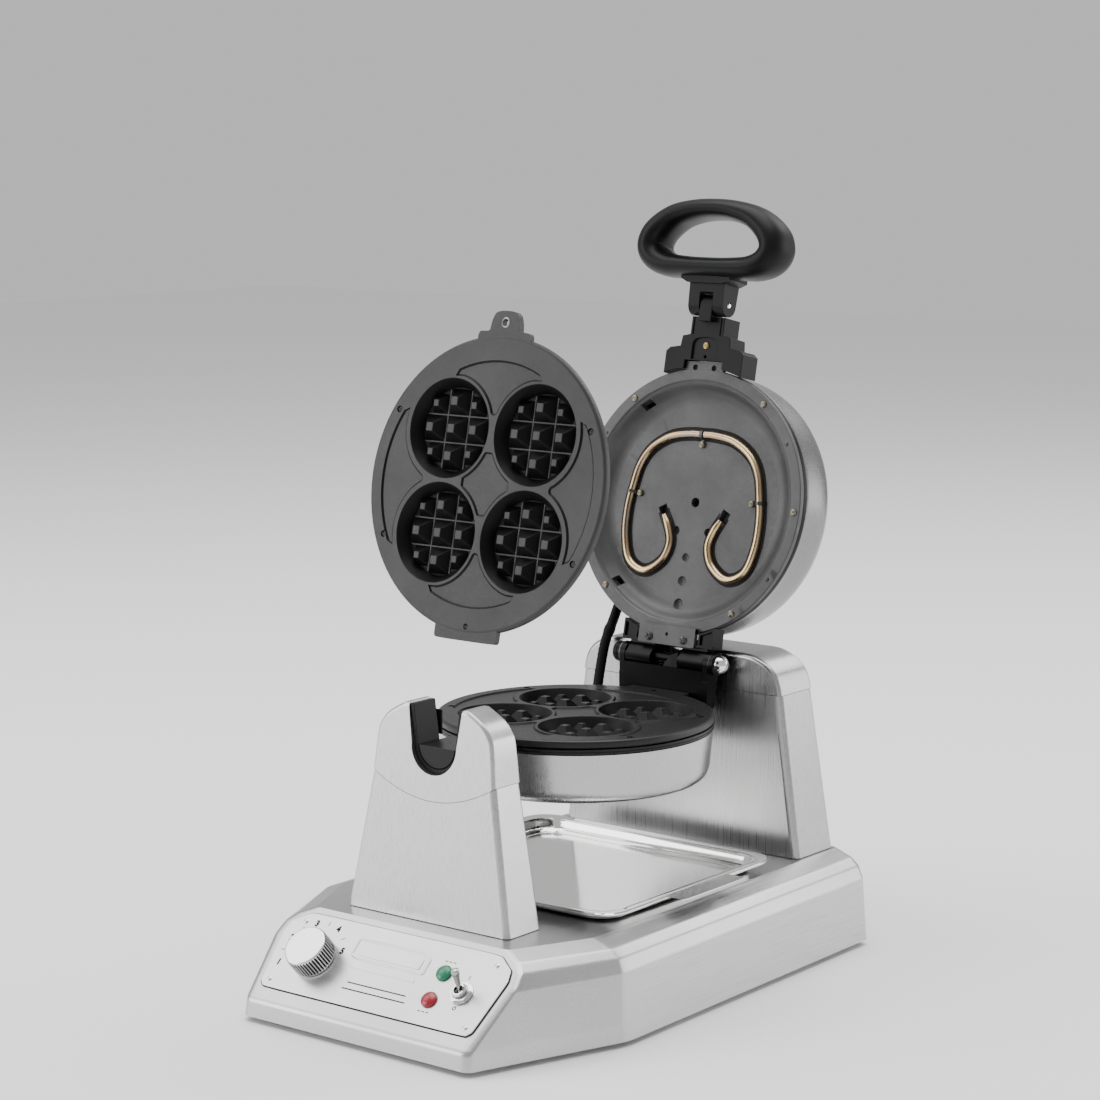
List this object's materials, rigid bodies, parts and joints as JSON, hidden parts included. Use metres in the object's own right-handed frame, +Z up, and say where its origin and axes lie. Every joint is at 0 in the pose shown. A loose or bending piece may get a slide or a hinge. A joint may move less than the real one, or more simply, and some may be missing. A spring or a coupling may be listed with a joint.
{
  "type": "waffle maker",
  "caption": "Counter-top rotary waffle maker with a round head on two posts, open lid, drawn-off cooking plate, folding loop handle, drip tray and slanted control panel.",
  "frame": {"origin": "midway along the width and length of the whole object at rest, on the plane its feet stand on", "axes": "+Z up, -Y towards the control panel at the front, +X to the right seen from the front"},
  "size_m": [0.2954, 0.4612, 0.572],
  "materials": {
    "base_shell": "brushed",
    "base_bottom_cover": "brushed",
    "foot_1": "matte",
    "foot_2": "matte",
    "foot_3": "matte",
    "foot_4": "matte",
    "control_panel": "brushed",
    "thermostat": "brushed",
    "green_lamp": "gloss",
    "red_lamp": "gloss",
    "switch_body": "brushed",
    "switch_nut": "polished",
    "front_post": "brushed",
    "front_post_cap": "brushed",
    "notch_liner": "matte",
    "notch_stop": "matte",
    "rear_post": "brushed",
    "rear_post_cap": "brushed",
    "rear_bearing": "satin",
    "cable_gland": "matte",
    "terminal_block": "matte",
    "thermostat_knob": "polished",
    "switch_lever": "polished",
    "drip_tray": "polished",
    "lower_shell": "brushed",
    "lower_rim": "satin",
    "lower_pan": "satin",
    "lower_heater": "brushed",
    "front_journal": "satin",
    "hinge_yoke": "matte",
    "hinge_pin": "matte",
    "hinge_nut": "polished",
    "rear_shaft": "brushed",
    "lower_plate": "satin",
    "upper_pan": "satin",
    "upper_heater": "brushed",
    "heater_clip_1": "brushed",
    "heater_clip_2": "brushed",
    "heater_clip_3": "brushed",
    "lid_rim": "matte",
    "lid_shell": "brushed",
    "lid_bracket": "matte",
    "handle_neck": "matte",
    "conduit": "matte",
    "handle_grip": "matte",
    "fold_pin": "polished",
    "upper_plate": "satin"
  },
  "bodies": {
    "base": {"base_shell": "base_shell", "base_bottom_cover": "base_bottom_cover", "foot_1": "foot_1", "foot_2": "foot_2", "foot_3": "foot_3", "foot_4": "foot_4", "control_panel": "control_panel", "thermostat": "thermostat", "green_lamp": "green_lamp", "red_lamp": "red_lamp", "switch_body": "switch_body", "switch_nut": "switch_nut", "front_post": "front_post", "front_post_cap": "front_post_cap", "notch_liner": "notch_liner", "notch_stop": "notch_stop", "rear_post": "rear_post", "rear_post_cap": "rear_post_cap", "rear_bearing": "rear_bearing", "cable_gland": "cable_gland", "terminal_block": "terminal_block"},
    "knob": {"thermostat_knob": "thermostat_knob"},
    "lever": {"switch_lever": "switch_lever"},
    "tray": {"drip_tray": "drip_tray"},
    "head": {"lower_shell": "lower_shell", "lower_rim": "lower_rim", "lower_pan": "lower_pan", "lower_heater": "lower_heater", "front_journal": "front_journal", "hinge_yoke": "hinge_yoke", "hinge_pin": "hinge_pin", "hinge_nut": "hinge_nut", "rear_shaft": "rear_shaft"},
    "lower_grid": {"lower_plate": "lower_plate"},
    "lid": {"upper_pan": "upper_pan", "upper_heater": "upper_heater", "heater_clip_1": "heater_clip_1", "heater_clip_2": "heater_clip_2", "heater_clip_3": "heater_clip_3", "lid_rim": "lid_rim", "lid_shell": "lid_shell", "lid_bracket": "lid_bracket", "handle_neck": "handle_neck", "conduit": "conduit"},
    "handle": {"handle_grip": "handle_grip", "fold_pin": "fold_pin"},
    "upper_grid": {"upper_plate": "upper_plate"}
  },
  "joints": [
    {"name": "lid_hinge", "type": "hinge", "parent": "head", "child": "lid", "pos_m": [0, 0.14106, 0.2185], "axis": [-1, 0, 0], "range_deg": [-102.24, 0], "deforming": ["conduit"]},
    {"name": "head_flip", "type": "hinge", "parent": "base", "child": "head", "pos_m": [0, 0.02156, 0.1975], "axis": [0, 1, 0], "range_deg": [0, 12]},
    {"name": "handle_fold", "type": "hinge", "parent": "lid", "child": "handle", "pos_m": [0, 0.19469, 0.48929], "axis": [-1, 0, 0], "range_deg": [0, 80]},
    {"name": "thermostat_turn", "type": "hinge", "parent": "base", "child": "knob", "pos_m": [-0.0615, -0.19859, 0.04472], "axis": [0, 0.6786, -0.7345], "range_deg": [0, 270]},
    {"name": "power_toggle", "type": "hinge", "parent": "base", "child": "lever", "pos_m": [0.0733, -0.2013, 0.04766], "axis": [-1, 0, 0], "range_deg": [-48, 0]},
    {"name": "tray_slide", "type": "slide", "parent": "base", "child": "tray", "axis": [1, 0, 0], "range_m": [0, 0.26]},
    {"name": "lower_plate_lift", "type": "slide", "parent": "head", "child": "lower_grid", "axis": [0, 0, 1], "range_m": [0, 0.06]},
    {"name": "upper_plate_off", "type": "slide", "parent": "base", "child": "upper_grid", "axis": [0, -0.9773, 0.212], "range_m": [0, 0.14]}
  ],
  "couplings": [
    {"joint": "upper_plate_off", "follows": "lid_hinge", "m_per_rad": -0.078}
  ]
}
